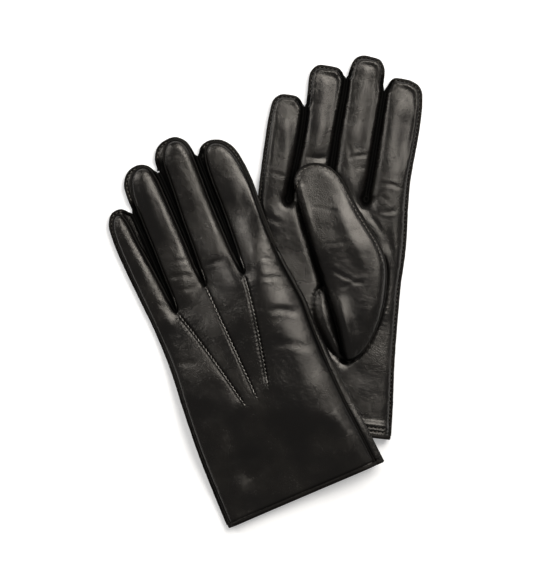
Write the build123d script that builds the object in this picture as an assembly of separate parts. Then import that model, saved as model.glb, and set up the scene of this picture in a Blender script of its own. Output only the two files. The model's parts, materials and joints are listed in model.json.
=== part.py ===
"""A pair of lined leather dress gloves, laid one over the other.

The right glove lies on its back with the palm up and its thumb folded over the palm. The left glove lies
palm down across it, with its own thumb folded flat underneath. Each glove is a leather back, a leather palm,
fourchettes between the fingers, a set-in thumb, a bound cuff and a knitted lining inside. Every finger bends
at its middle knuckle, the thumbs move at their roots, and the left glove lifts off the right one.

Millimetres, +Z up, +Y towards the fingertips, origin under the middle of the pair.
Both gloves share one hand frame: X across the hand towards the index side, Y from the cuff to the fingertips.
"""
from build123d import *
from math import cos, radians, sin
import os

# Materials and clearances
LEATHER = 0.8
LINING = 0.8
LINING_GAP = 0.1
HINGE_GAP = 0.5
LAYER_GAP = 0.3

# The hand, in the hand frame
POCKET = 9.0
CUFF_HALF = 54.4
WRIST_AT = 70.0
WRIST_INDEX = 49.4
WRIST_LITTLE = -50.4
KNUCKLE_AT = 116.0
KNUCKLE_INDEX = 48.2
KNUCKLE_LITTLE = -47.4
CROTCHES = [(-29.4, 143.2), (-5.8, 150.0), (19.6, 148.4)]
BINDING = 3.2
EDGE_FOLD = 2.6
WELT_PROUD = 1.4
WELT_THICK = 1.8

# name: root centre (x, y), length past the root, width at the root, width at the tip, root to middle knuckle
FINGERS = {
    "index": ((31.8, 147.0), 83.5, 22.4, 21.4, 38.0),
    "middle": ((6.9, 149.0), 93.5, 22.6, 22.0, 38.0),
    "ring": ((-17.6, 147.0), 88.0, 21.0, 20.8, 34.0),
    "little": ((-39.6, 145.5), 69.0, 18.4, 17.8, 26.5),
}
TIP_ROUND = 0.42
ROOT_OVERLAP = 40.0

# The stitched points on the back of the hand: start near a crotch, end near the wrist
POINTS = [((-28.5, 138.5), (-13.2, 67.8)), ((-5.3, 141.0), (-4.4, 68.9)), ((18.7, 139.5), (4.6, 71.9))]
POINT_WIDTH = 2.0

# The thumb: an oval hole in the palm, and a tube that rises from it and lies along the palm
THUMB_HOLE = (20.0, 83.0)
THUMB_HOLE_RADII = (18.5, 33.0)
THUMB_HOLE_TURN = 5.0
THUMB_ROOT = (19.5, 47.0)
THUMB_HINGE = 62.0
THUMB_LENGTH = 126.0
THUMB_WIDTH_ROOT = 37.0
THUMB_WIDTH_TIP = 33.0
THUMB_LAP = 16.0

# The little-finger side of the left glove lies on the table; its index side lies on the right glove
LEFT_THUMB = 4.2
RIGHT_THUMB = 9.4
LEFT_RISE = POCKET + LEFT_THUMB + 2 * LAYER_GAP
STEP_FROM = -47.0
STEP_TO = -33.0
RISE_TO = -6.0
SHOULDER = -36.0
CREST = -8.0
PROFILE_HALF = 60.0

# Each glove: its turn on the table, its cuff's place, and how its fingers lean and droop
GLOVES = {
    "right": {
        "turn": -6.8, "place": (0.0, 0.0), "palm_up": True, "rise": 0.0, "thumb_high": RIGHT_THUMB,
        "thumb_turn": 17.4, "point_rise": 0.0,
        "lean": {"index": 3.0, "middle": 2.0, "ring": 1.6, "little": 1.0},
        "droop": {"index": 0.0, "middle": 0.0, "ring": 0.0, "little": 0.0},
    },
    "left": {
        "turn": 23.4, "place": (-0.4, -41.6), "palm_up": False, "rise": LEFT_RISE, "thumb_high": LEFT_THUMB,
        "thumb_turn": 0.0, "point_rise": 0.8,
        "lean": {"index": 2.3, "middle": 1.6, "ring": 0.3, "little": -1.7},
        "droop": {"index": 8.0, "middle": 7.0, "ring": 5.0, "little": 0.0},
    },
}
FAR = 400.0


def finger_shape(name, lean):
    """One finger seen from above, from well inside the hand to its rounded tip."""
    (x, y), length, root, tip, _ = FINGERS[name]
    corners = [(-root / 2, -ROOT_OVERLAP), (root / 2, -ROOT_OVERLAP), (tip / 2, length), (-tip / 2, length)]
    shape = Polygon(*corners, align=None)
    shape = fillet(shape.vertices().sort_by(Axis.Y)[-2:], radius=TIP_ROUND * tip)
    return Pos(x, y) * Rot(0, 0, -lean) * shape


def beyond_knuckle(name, lean, gap):
    """The area past a finger's middle knuckle, a little wider than the finger, starting gap past the hinge."""
    (x, y), _, root, _, knuckle = FINGERS[name]
    area = Pos(0, knuckle + gap) * Rectangle(root + 1.0, FAR, align=(Align.CENTER, Align.MIN))
    return Pos(x, y) * Rot(0, 0, -lean) * area


def finger_axis(name, lean):
    """A finger's hinge centre and its direction, as (x, y) pairs in the hand frame."""
    (x, y), _, _, _, knuckle = FINGERS[name]
    along = (sin(radians(lean)), cos(radians(lean)))
    return (x + knuckle * along[0], y + knuckle * along[1]), along


def palm_shape():
    """The hand without its fingers seen from above, run on past the cuff so that its mouth can be cut open."""
    start_index, start_little = (CUFF_HALF, 0), (-CUFF_HALF, 0)
    knuckle_index, knuckle_little = (KNUCKLE_INDEX, KNUCKLE_AT), (KNUCKLE_LITTLE, KNUCKLE_AT)
    index_root = FINGERS["index"][0][0] + FINGERS["index"][2] / 2
    little_root = FINGERS["little"][0][0] - FINGERS["little"][2] / 2
    top = [knuckle_index, (index_root, FINGERS["index"][0][1]), *reversed(CROTCHES)]
    top += [(little_root, FINGERS["little"][0][1]), knuckle_little]
    edges = [
        Polyline((-CUFF_HALF, 0), (-CUFF_HALF, -ROOT_OVERLAP), (CUFF_HALF, -ROOT_OVERLAP), (CUFF_HALF, 0)),
        ThreePointArc(start_index, (WRIST_INDEX, WRIST_AT), knuckle_index),
        Polyline(*top),
        ThreePointArc(knuckle_little, (WRIST_LITTLE, WRIST_AT), start_little),
    ]
    return make_face(edges)


def hand_shape(leans):
    """The whole glove seen from above."""
    shape = palm_shape()
    for name in FINGERS:
        shape += finger_shape(name, leans[name])
    return shape


def inset(shape, depth):
    """A flat shape drawn in by depth all round."""
    return offset(shape, amount=-depth, kind=Kind.INTERSECTION) if depth else shape


def profile(rise):
    """A glove's cross-section outline: lower line, then upper line, as points (x, z)."""
    half = PROFILE_HALF
    if not rise:
        return [(-half, 0), (half, 0)], [(-half, POCKET), (half, POCKET)]
    step = POCKET + LAYER_GAP
    low = [(-half, 0), (STEP_FROM, 0), (STEP_TO, step), (RISE_TO, rise), (half, rise)]
    slope = step / (SHOULDER + CUFF_HALF)
    start = POCKET - slope * (half - CUFF_HALF)
    high = [(-half, start), (SHOULDER, POCKET + step), (CREST, POCKET + rise), (half, POCKET + rise)]
    return low, high


def filled(shape, section):
    """The solid that is shape seen from above and section seen along the hand."""
    upright = extrude(Pos(0, 0, -FAR / 2) * shape, amount=FAR)
    return upright & extrude(Plane.XZ * section, amount=FAR, both=True)


def closed(low, high):
    return Polygon(*low, *reversed(high), align=None)


def lowered(line, by):
    return [(x, z - by) for x, z in line]


def height_at(line, x):
    """The z of a profile line at x."""
    for (x0, z0), (x1, z1) in zip(line, line[1:]):
        if x0 <= x <= x1:
            return z0 + (z1 - z0) * (x - x0) / (x1 - x0)
    return line[-1][1]


def between(y0, y1):
    """Everything from y0 to y1 along the hand."""
    return Pos(0, (y0 + y1) / 2, 0) * Box(FAR, y1 - y0, FAR)


def thumb_frame(glove):
    """Takes the thumb's own plan, root at the origin and tip along +Y, to the hand frame."""
    return Pos(*THUMB_ROOT) * Rot(0, 0, glove["thumb_turn"])


def thumb_shape(glove):
    """The thumb's flattened tube seen from above."""
    corners = [
        (-THUMB_WIDTH_ROOT / 2, 0),
        (THUMB_WIDTH_ROOT / 2, 0),
        (THUMB_WIDTH_TIP / 2, THUMB_LENGTH),
        (-THUMB_WIDTH_TIP / 2, THUMB_LENGTH),
    ]
    shape = Polygon(*corners, align=None)
    shape = fillet(shape.vertices().sort_by(Axis.Y)[-2:], radius=TIP_ROUND * THUMB_WIDTH_TIP)
    return thumb_frame(glove) * shape


def thumb_area(glove, start, end):
    """The strip across the thumb from start to end along it."""
    strip = Pos(0, (start + end) / 2) * Rectangle(FAR, end - start)
    return thumb_frame(glove) * strip


def thumb_hole(depth=0.0):
    hole = Ellipse(THUMB_HOLE_RADII[0] - depth, THUMB_HOLE_RADII[1] - depth)
    return Pos(*THUMB_HOLE) * Rot(0, 0, THUMB_HOLE_TURN) * hole


def slab(low, high):
    """Everything between two heights."""
    return Pos(0, 0, (low + high) / 2) * Box(2 * FAR, 2 * FAR, high - low)


def prism(shape, low, high):
    return extrude(Pos(0, 0, low) * shape, amount=high - low)


def hand_pieces(side, glove):
    """The pieces that stay with the palm: back, palm, fourchettes, lining, binding, points and welts."""
    leans = glove["lean"]
    whole = hand_shape(leans)
    hinges = [beyond_knuckle(name, leans[name], -HINGE_GAP) for name in FINGERS]
    low, high = profile(glove["rise"])
    section = closed(low, high)
    ahead = whole
    for area in hinges:
        ahead -= area
    outer = filled(ahead, section) & between(0, FAR)
    skin = LEATHER + LINING_GAP
    hollow = filled(inset(whole, LEATHER), inset(section, LEATHER))
    room = filled(inset(whole, skin + LINING), inset(section, skin + LINING))
    leather = (outer - hollow) & between(BINDING, FAR)
    lining = ((outer & filled(inset(whole, skin), inset(section, skin))) - room) & between(BINDING, FAR)
    binding = (outer - room) & between(-1, BINDING)

    upper_band = filled(whole, closed(lowered(high, EDGE_FOLD), lowered(high, -1)))
    lower_band = filled(whole, closed(lowered(low, 1), lowered(low, -EDGE_FOLD)))
    upper = leather & upper_band
    lower = leather & lower_band
    wall = leather - upper_band - lower_band
    webs = []
    names = list(FINGERS)
    for (x, y), right, left in zip(reversed(CROTCHES), names, names[1:]):
        x0, x1 = FINGERS[left][0][0], FINGERS[right][0][0]
        area = Pos((x0 + x1) / 2, y + FAR / 2 - EDGE_FOLD) * Rectangle(x1 - x0, FAR)
        strip = wall & prism(area, -FAR / 2, FAR / 2)
        webs.append(strip)
        wall -= strip

    palm_up = glove["palm_up"]
    back, palm = (lower, upper) if palm_up else (upper, lower)
    palm += wall
    through = prism(thumb_hole(), -FAR / 2, FAR / 2)
    palm_side = slab(POCKET / 2, FAR) if palm_up else filled(whole, closed(lowered(low, 1), lowered(low, -3)))
    palm -= through & palm_side
    lining -= through & palm_side

    lines = high if not palm_up else low
    points = []
    for start, end in POINTS:
        strip = trace(Line(start, end), line_width=POINT_WIDTH)
        rise, under = glove["point_rise"], LEATHER + LINING_GAP / 2
        if palm_up:
            back -= prism(strip, -1, under)
            points.append(prism(strip, 0, LEATHER))
        else:
            back -= filled(strip, closed(lowered(lines, under), lowered(lines, -1)))
            points.append(filled(strip, closed(lowered(lines, LEATHER), lowered(lines, -rise))))

    seam = POCKET - EDGE_FOLD if not palm_up else EDGE_FOLD
    welts = []
    for name, sign, lift in (("little", -1, 0.0), ("index", 1, glove["rise"])):
        rim = offset(palm_shape() + finger_shape(name, leans[name]), amount=WELT_PROUD) - whole
        (x, y), along = finger_axis(name, leans[name])
        behind = Pos(x, y - HINGE_GAP) * Rot(0, 0, -leans[name]) * Pos(sign * FAR / 2, -FAR / 2) * Rectangle(FAR, FAR)
        edge = rim & behind & (Pos(0, FAR / 2 + BINDING) * Rectangle(FAR, FAR))
        welts.append(prism(edge, seam + lift - WELT_THICK / 2, seam + lift + WELT_THICK / 2))

    return {
        "back_panel": back,
        "palm_panel": palm,
        "fourchettes": Compound(children=[piece for web in webs for piece in web.solids()]),
        "hand_lining": lining,
        "cuff_binding": binding,
        "back_points": Compound(children=[piece for rib in points for piece in rib.solids()]),
        "side_welts": Compound(children=[piece for welt in welts for piece in welt.solids()]),
    }


def finger_base(glove, name):
    """The height of a finger's underside where it leaves the hand."""
    return height_at(profile(glove["rise"])[0], FINGERS[name][0][0])


def finger_pieces(glove, name):
    """One finger past its middle knuckle: back, palm, fourchettes and lining, at their rest droop."""
    lean = glove["lean"][name]
    shape = finger_shape(name, lean)
    area = beyond_knuckle(name, lean, 0)
    base = finger_base(glove, name)
    top = base + POCKET
    skin = LEATHER + LINING_GAP
    outer = prism(shape & area, base, top)
    leather = outer - prism(inset(shape, LEATHER), base + LEATHER, top - LEATHER)
    lining = prism(inset(shape, skin) & area, base + skin, top - skin)
    lining -= prism(inset(shape, skin + LINING), base + skin + LINING, top - skin - LINING)
    lower = leather & slab(base - 1, base + EDGE_FOLD)
    upper = leather & slab(top - EDGE_FOLD, top + 1)
    wall = leather & slab(base + EDGE_FOLD, top - EDGE_FOLD)
    (x, y), along = finger_axis(name, lean)
    half = Pos(x, y) * Rot(0, 0, -lean) * Rectangle(FAR, FAR, align=(Align.MIN, Align.CENTER))
    index_half = wall & prism(half, -FAR / 2, FAR / 2)
    little_half = wall - prism(half, -FAR / 2, FAR / 2)
    back, palm = (lower, upper) if glove["palm_up"] else (upper, lower)
    strips = [index_half, little_half]
    if name == "index":
        palm += strips.pop(0)
    if name == "little":
        palm += strips.pop(1)
    pieces = {
        f"{name}_back": back,
        f"{name}_palm": palm,
        f"{name}_fourchettes": Compound(children=[piece for s in strips for piece in s.solids()]),
        f"{name}_lining": lining,
    }
    pivot = Axis((x, y, base), (along[1], -along[0], 0))
    droop = glove["droop"][name]
    return {key: piece.rotate(pivot, -droop) for key, piece in pieces.items()}


def thumb_pieces(glove):
    """The thumb's fixed base over its hole, then the tube past the hinge with its seam welt and lining."""
    palm_up = glove["palm_up"]
    high = glove["thumb_high"]
    near = POCKET if palm_up else glove["rise"]
    low, top = (near, near + high) if palm_up else (near - high, near)
    tube = thumb_shape(glove)
    lap = thumb_area(glove, THUMB_HINGE - THUMB_LAP, THUMB_HINGE - HINGE_GAP)
    base_plan = (thumb_hole() + (tube & lap)) & thumb_area(glove, -FAR, THUMB_HINGE - HINGE_GAP)
    inner_plan = thumb_hole(LEATHER) + inset(tube, LEATHER)
    mouth = thumb_hole(LEATHER + LINING_GAP)
    cut = prism(inner_plan, low + LEATHER, top - LEATHER)
    if palm_up:
        cut += prism(mouth, low - 1, low + LEATHER + 0.1)
    else:
        cut += prism(mouth, top - LEATHER - 0.1, top + 1)
    base = prism(base_plan, low, top) - cut

    free = tube & thumb_area(glove, THUMB_HINGE, FAR)
    gap = LAYER_GAP if palm_up else 0.0
    low, top = low + gap, top - (LAYER_GAP - gap)
    skin = LEATHER + LINING_GAP
    leather = prism(free, low, top) - prism(inset(tube, LEATHER), low + LEATHER, top - LEATHER)
    area = thumb_area(glove, THUMB_HINGE, FAR)
    lining = prism(inset(tube, skin) & area, low + skin, top - skin)
    if high > RIGHT_THUMB / 2:
        lining -= prism(inset(tube, skin + LINING), low + skin + LINING, top - skin - LINING)
    rim = (offset(tube, amount=WELT_PROUD) - tube) & area
    seam_side = thumb_frame(glove) * Rectangle(FAR, FAR, align=(Align.MIN, Align.CENTER))
    middle = (low + top) / 2
    welt = prism(rim & seam_side, middle - WELT_THICK / 2, middle + WELT_THICK / 2)
    return {"thumb_base": base, "thumb_leather": leather, "thumb_lining": lining, "thumb_welt": welt}


def glove_place(glove):
    return Pos(glove["place"][0], glove["place"][1], 0) * Rot(0, 0, glove["turn"])


def all_pieces():
    """Every node of the pair, by name, placed on the table with the cuff of the right glove at the origin."""
    made = {}
    for side, glove in GLOVES.items():
        own = hand_pieces(side, glove) | thumb_pieces(glove)
        for name in FINGERS:
            own |= finger_pieces(glove, name)
        for name, piece in own.items():
            made[f"{side}_{name}"] = glove_place(glove) * piece
    return made


def joint_lines():
    """Each joint's point and axis in the hand's own place, as (side, name, point, axis)."""
    found = []
    for side, glove in GLOVES.items():
        place = glove_place(glove)
        for name in FINGERS:
            (x, y), along = finger_axis(name, glove["lean"][name])
            base = finger_base(glove, name)
            height = base + POCKET if glove["palm_up"] else base
            across = (along[1], -along[0], 0)
            point = place * Pos(x, y, height)
            aim = Rot(0, 0, glove["turn"]) * Pos(*across)
            found.append((side, name, tuple(point.position), tuple(aim.position)))
        frame = place * thumb_frame(glove) * Pos(0, THUMB_HINGE, 0)
        aim = Rot(0, 0, glove["turn"] + glove["thumb_turn"]) * Pos(1, 0, 0)
        height = POCKET + glove["thumb_high"] if glove["palm_up"] else glove["rise"]
        spot = frame.position
        found.append((side, "thumb", (spot.X, spot.Y, height), tuple(aim.position)))
    return found


def centre_shift(pieces):
    """The move that puts the origin under the middle of the pair."""
    boxes = [piece.bounding_box() for piece in pieces.values()]
    x = min(box.min.X for box in boxes) + max(box.max.X for box in boxes)
    y = min(box.min.Y for box in boxes) + max(box.max.Y for box in boxes)
    return -x / 2, -y / 2


pieces = all_pieces()
shift = centre_shift(pieces)
os.makedirs("parts", exist_ok=True)
for name, piece in pieces.items():
    export_step(Pos(*shift, 0) * piece, f"parts/{name}.step")
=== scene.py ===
"""A pair of lined black leather dress gloves: the right one palm up, the left one laid over it, palm down.

Sizes are in millimetres in each glove's own hand frame (u across towards the index side, v from the cuff to
the fingertips) and turn into metres in the shared frame when a mesh is made.
"""
import json
import math

import bpy
import numpy as np
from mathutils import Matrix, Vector
from mathutils.geometry import delaunay_2d_cdt


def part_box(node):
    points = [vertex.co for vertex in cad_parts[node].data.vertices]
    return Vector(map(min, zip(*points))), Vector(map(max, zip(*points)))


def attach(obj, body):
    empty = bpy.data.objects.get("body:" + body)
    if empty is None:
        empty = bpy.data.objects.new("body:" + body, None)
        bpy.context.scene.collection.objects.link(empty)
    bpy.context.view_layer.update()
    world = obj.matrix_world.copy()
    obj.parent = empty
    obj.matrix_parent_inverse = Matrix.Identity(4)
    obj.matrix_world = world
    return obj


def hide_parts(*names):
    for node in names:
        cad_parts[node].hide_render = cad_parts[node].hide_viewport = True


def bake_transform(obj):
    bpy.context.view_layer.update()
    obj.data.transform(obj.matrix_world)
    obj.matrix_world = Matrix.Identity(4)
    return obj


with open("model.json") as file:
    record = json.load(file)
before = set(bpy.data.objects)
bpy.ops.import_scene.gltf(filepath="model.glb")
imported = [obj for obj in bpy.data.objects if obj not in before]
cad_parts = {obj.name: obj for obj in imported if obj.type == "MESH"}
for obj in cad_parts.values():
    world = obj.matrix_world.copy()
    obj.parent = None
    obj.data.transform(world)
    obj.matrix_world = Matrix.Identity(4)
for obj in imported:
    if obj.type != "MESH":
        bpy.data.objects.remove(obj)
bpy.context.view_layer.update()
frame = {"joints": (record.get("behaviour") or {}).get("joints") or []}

MM = 0.001


# Camera, floor and light: a long lens straight above a white table, one large soft box at the upper right
# and a pale room all round.

def linear(hex_colour):
    """A screen colour such as "2b2a29" as linear RGBA."""
    parts = [int(hex_colour[i:i + 2], 16) / 255 for i in (0, 2, 4)]
    return tuple(c / 12.92 if c <= 0.04045 else ((c + 0.055) / 1.055) ** 2.4 for c in parts) + (1.0,)


def add_node(tree, kind, settings=None, links=None):
    """A node with its settings, and its inputs filled from values or from other nodes' sockets."""
    node = tree.nodes.new(kind)
    for key, value in (settings or {}).items():
        setattr(node, key, value)
    for key, value in (links or {}).items():
        if isinstance(value, bpy.types.NodeSocket):
            tree.links.new(value, node.inputs[key])
        else:
            node.inputs[key].default_value = value
    return node


def new_material(name):
    material = bpy.data.materials.new(name)
    material.use_nodes = True
    material.node_tree.nodes.clear()
    return material, material.node_tree


scene = bpy.context.scene
VIEW_CENTRE = (2.85 * MM, 1.89 * MM)
VIEW_HEIGHT = 2.5
FRAME_TALL = 368.6 * MM
lens = bpy.data.cameras.new("camera")
lens.sensor_fit = "VERTICAL"
lens.sensor_height = 24.0
lens.lens = lens.sensor_height * VIEW_HEIGHT / FRAME_TALL
lens.clip_end = 20.0
camera = bpy.data.objects.new("camera", lens)
camera.location = (*VIEW_CENTRE, VIEW_HEIGHT)
scene.collection.objects.link(camera)
scene.camera = camera
scene.view_settings.view_transform = "Standard"
scene.view_settings.look = "None"

floor_material, tree = new_material("white_table")
shader = add_node(tree, "ShaderNodeBsdfPrincipled",
                  links={"Base Color": linear("f6f6f6"), "Roughness": 0.9, "Specular IOR Level": 0.1,
                         "Emission Color": (1.0, 1.0, 1.0, 1.0), "Emission Strength": 0.32})
add_node(tree, "ShaderNodeOutputMaterial", links={"Surface": shader.outputs["BSDF"]})
floor_mesh = bpy.data.meshes.new("floor")
floor_mesh.from_pydata([(-3, -3, 0), (3, -3, 0), (3, 3, 0), (-3, 3, 0)], [], [(0, 1, 2, 3)])
floor_mesh.materials.append(floor_material)
floor = bpy.data.objects.new("floor", floor_mesh)
floor.location.z = -0.0004
scene.collection.objects.link(floor)

world = bpy.data.worlds.new("pale_room")
scene.world = world
world.use_nodes = True
world.node_tree.nodes["Background"].inputs["Color"].default_value = (1.0, 0.99, 0.975, 1.0)
world.node_tree.nodes["Background"].inputs["Strength"].default_value = 0.175


def soft_box(name, place, aim, wide, tall, power, colour):
    light = bpy.data.lights.new(name, "AREA")
    light.shape = "RECTANGLE"
    light.size, light.size_y = wide, tall
    light.energy = power
    light.color = colour
    holder = bpy.data.objects.new(name, light)
    holder.location = place
    holder.rotation_euler = (Vector(aim) - Vector(place)).to_track_quat("-Z", "Y").to_euler()
    scene.collection.objects.link(holder)


soft_box("key_light", (0.51, 0.62, 1.12), (0.03, 0.0, 0.0), 0.80, 0.80, 18.4, (1.0, 0.975, 0.94))
soft_box("side_light", (-0.9, 0.5, 0.62), (0.0, 0.0, 0.0), 0.3, 0.7, 5.2, (1.0, 0.98, 0.96))


# The leather: black glazed nappa, drum dyed and lightly polished. The eye sees near black with a soft warm
# sheen, very fine pores, and faint creases where it has been worked soft.

def nappa(name, base, rough, grain=1.0, shine=0.5, shade_dims_shine=True):
    """Black glove leather. The UV map is in tenths of a metre; a vertex attribute of painted seam shade is 1
    where shade is painted down in a seam, a groove or a gap.
    """
    material, tree = new_material(name)
    place = add_node(tree, "ShaderNodeUVMap", {"uv_map": "leather"})
    stray = add_node(tree, "ShaderNodeTexNoise", {"noise_dimensions": "2D"},
                     {"Vector": place.outputs["UV"], "Scale": 22.0, "Detail": 2.0})
    bent = add_node(tree, "ShaderNodeMix", {"data_type": "VECTOR"},
                    {"Factor": 0.035, "A": place.outputs["UV"], "B": stray.outputs["Color"]})
    pores = add_node(tree, "ShaderNodeTexVoronoi", {"feature": "F1", "voronoi_dimensions": "2D"},
                     {"Vector": bent.outputs["Result"], "Scale": 165.0, "Randomness": 1.0})
    fine = add_node(tree, "ShaderNodeTexNoise", {"noise_dimensions": "2D"},
                    {"Vector": place.outputs["UV"], "Scale": 125.0, "Detail": 4.0, "Roughness": 0.7})
    cells = add_node(tree, "ShaderNodeTexVoronoi",
                     {"feature": "DISTANCE_TO_EDGE", "voronoi_dimensions": "2D"},
                     {"Vector": bent.outputs["Result"], "Scale": 74.0, "Randomness": 1.0})
    lines = add_node(tree, "ShaderNodeMapRange",
                     links={"Value": cells.outputs["Distance"], "From Min": 0.0, "From Max": 0.22})
    broad = add_node(tree, "ShaderNodeTexNoise", {"noise_dimensions": "2D"},
                     {"Vector": place.outputs["UV"], "Scale": 3.4, "Detail": 3.0, "Roughness": 0.55})
    patches = add_node(tree, "ShaderNodeMapRange",
                       links={"Value": broad.outputs["Fac"], "From Min": 0.36, "From Max": 0.74})
    worked = add_node(tree, "ShaderNodeMath", {"operation": "MULTIPLY"},
                      {0: lines.outputs["Result"], 1: patches.outputs["Result"]})
    bump_fine = add_node(tree, "ShaderNodeBump",
                         links={"Height": fine.outputs["Fac"], "Distance": 0.00015, "Strength": 0.5 * grain})
    bump_pores = add_node(tree, "ShaderNodeBump",
                          links={"Height": pores.outputs["Distance"], "Distance": 0.00012,
                                 "Strength": 0.42 * grain, "Normal": bump_fine.outputs["Normal"]})
    bump_lines = add_node(tree, "ShaderNodeBump",
                          links={"Height": worked.outputs["Value"], "Distance": 0.00016,
                                 "Strength": 0.45 * grain, "Normal": bump_pores.outputs["Normal"]})
    sheen = add_node(tree, "ShaderNodeMapRange",
                     links={"Value": broad.outputs["Fac"], "From Min": 0.3, "From Max": 0.7,
                            "To Min": rough - 0.05, "To Max": rough + 0.07})
    tone = add_node(tree, "ShaderNodeMix", {"data_type": "RGBA"},
                    {"Factor": patches.outputs["Result"], "A": linear(base), "B": linear("161412")})
    # Painted shade: the seam shade attribute takes the base colour to near black down in seams, grooves and
    # the gaps between fingers.
    seam = add_node(tree, "ShaderNodeAttribute",
                    {"attribute_type": "GEOMETRY", "attribute_name": "painted_seam_shade"})
    painted_shade_tone = add_node(tree, "ShaderNodeMix", {"data_type": "RGBA"},
                    {"Factor": seam.outputs["Fac"], "A": tone.outputs["Result"], "B": linear("040404")})
    shader = add_node(tree, "ShaderNodeBsdfPrincipled",
                      links={"Base Color": painted_shade_tone.outputs["Result"], "Roughness": sheen.outputs["Result"],
                             "Specular IOR Level": shine, "Normal": bump_lines.outputs["Normal"]})
    # Painted shade: there the seam shade also takes the specular level down to almost none, so the shade
    # shows no reflection.
    if shade_dims_shine:
        mirror = add_node(tree, "ShaderNodeMapRange",
                          links={"Value": seam.outputs["Fac"], "From Min": 0.0, "From Max": 1.0,
                                 "To Min": shine, "To Max": 0.03})
        tree.links.new(mirror.outputs["Result"], shader.inputs["Specular IOR Level"])
    shader.inputs["IOR"].default_value = 1.5
    shader.inputs["Specular Tint"].default_value = (1.0, 0.95, 0.88, 1.0)
    add_node(tree, "ShaderNodeOutputMaterial", links={"Surface": shader.outputs["BSDF"]})
    return material


glove_nappa = nappa("black_glazed_nappa", "0c0b0b", 0.25)
edge_nappa = nappa("black_trimmed_nappa_edge", "080707", 0.44, 0.7, 0.13)


def plain_thread(name, colour, lit, rough):
    """Black sewing thread: a tight dark twist, lit along the top of each turn."""
    material, tree = new_material(name)
    place = add_node(tree, "ShaderNodeTexCoord")
    twist = add_node(tree, "ShaderNodeTexWave", {"wave_type": "BANDS", "bands_direction": "DIAGONAL"},
                     {"Vector": place.outputs["Object"], "Scale": 900.0, "Distortion": 0.4})
    bump = add_node(tree, "ShaderNodeBump",
                    links={"Height": twist.outputs["Fac"], "Distance": 0.00006, "Strength": 0.6})
    tone = add_node(tree, "ShaderNodeMix", {"data_type": "RGBA"},
                    {"Factor": twist.outputs["Fac"], "A": linear(colour), "B": linear(lit)})
    shader = add_node(tree, "ShaderNodeBsdfPrincipled",
                      links={"Base Color": tone.outputs["Result"], "Roughness": rough,
                             "Normal": bump.outputs["Normal"]})
    add_node(tree, "ShaderNodeOutputMaterial", links={"Surface": shader.outputs["BSDF"]})
    return material


thread = plain_thread("black_waxed_thread", "35322d", "7a746a", 0.28)


# The two hand frames. Each glove is placed by its cuff binding, whose ends are 54.4 mm either side of the
# middle of the cuff.
TURN = {"right": math.radians(-6.8), "left": math.radians(23.4)}
BINDING_HALF = 1.6


def cuff_centre(side):
    low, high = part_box(f"{side}_cuff_binding")
    x, y = (low.x + high.x) / 2 / MM, (low.y + high.y) / 2 / MM
    return np.array([x + BINDING_HALF * math.sin(TURN[side]), y - BINDING_HALF * math.cos(TURN[side])])


CENTRE = {side: cuff_centre(side) for side in TURN}


def laid(side, uv):
    """Plan points of a hand frame on the table, in millimetres."""
    c, s = math.cos(TURN[side]), math.sin(TURN[side])
    return np.stack([CENTRE[side][0] + c * uv[:, 0] - s * uv[:, 1],
                     CENTRE[side][1] + s * uv[:, 0] + c * uv[:, 1]], 1)


def to_frame(side, points):
    """Hand frame points (u, v, z) in millimetres to the shared frame in metres."""
    points = np.asarray(points, float)
    return np.column_stack([laid(side, points), points[:, 2]]) * MM


def other_hand(side, other, uv):
    """Plan points of one hand frame in the other's."""
    x, y = (laid(side, uv) - CENTRE[other]).T
    c, s = math.cos(TURN[other]), math.sin(TURN[other])
    return np.stack([c * x + s * y, -s * x + c * y], 1)


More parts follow.
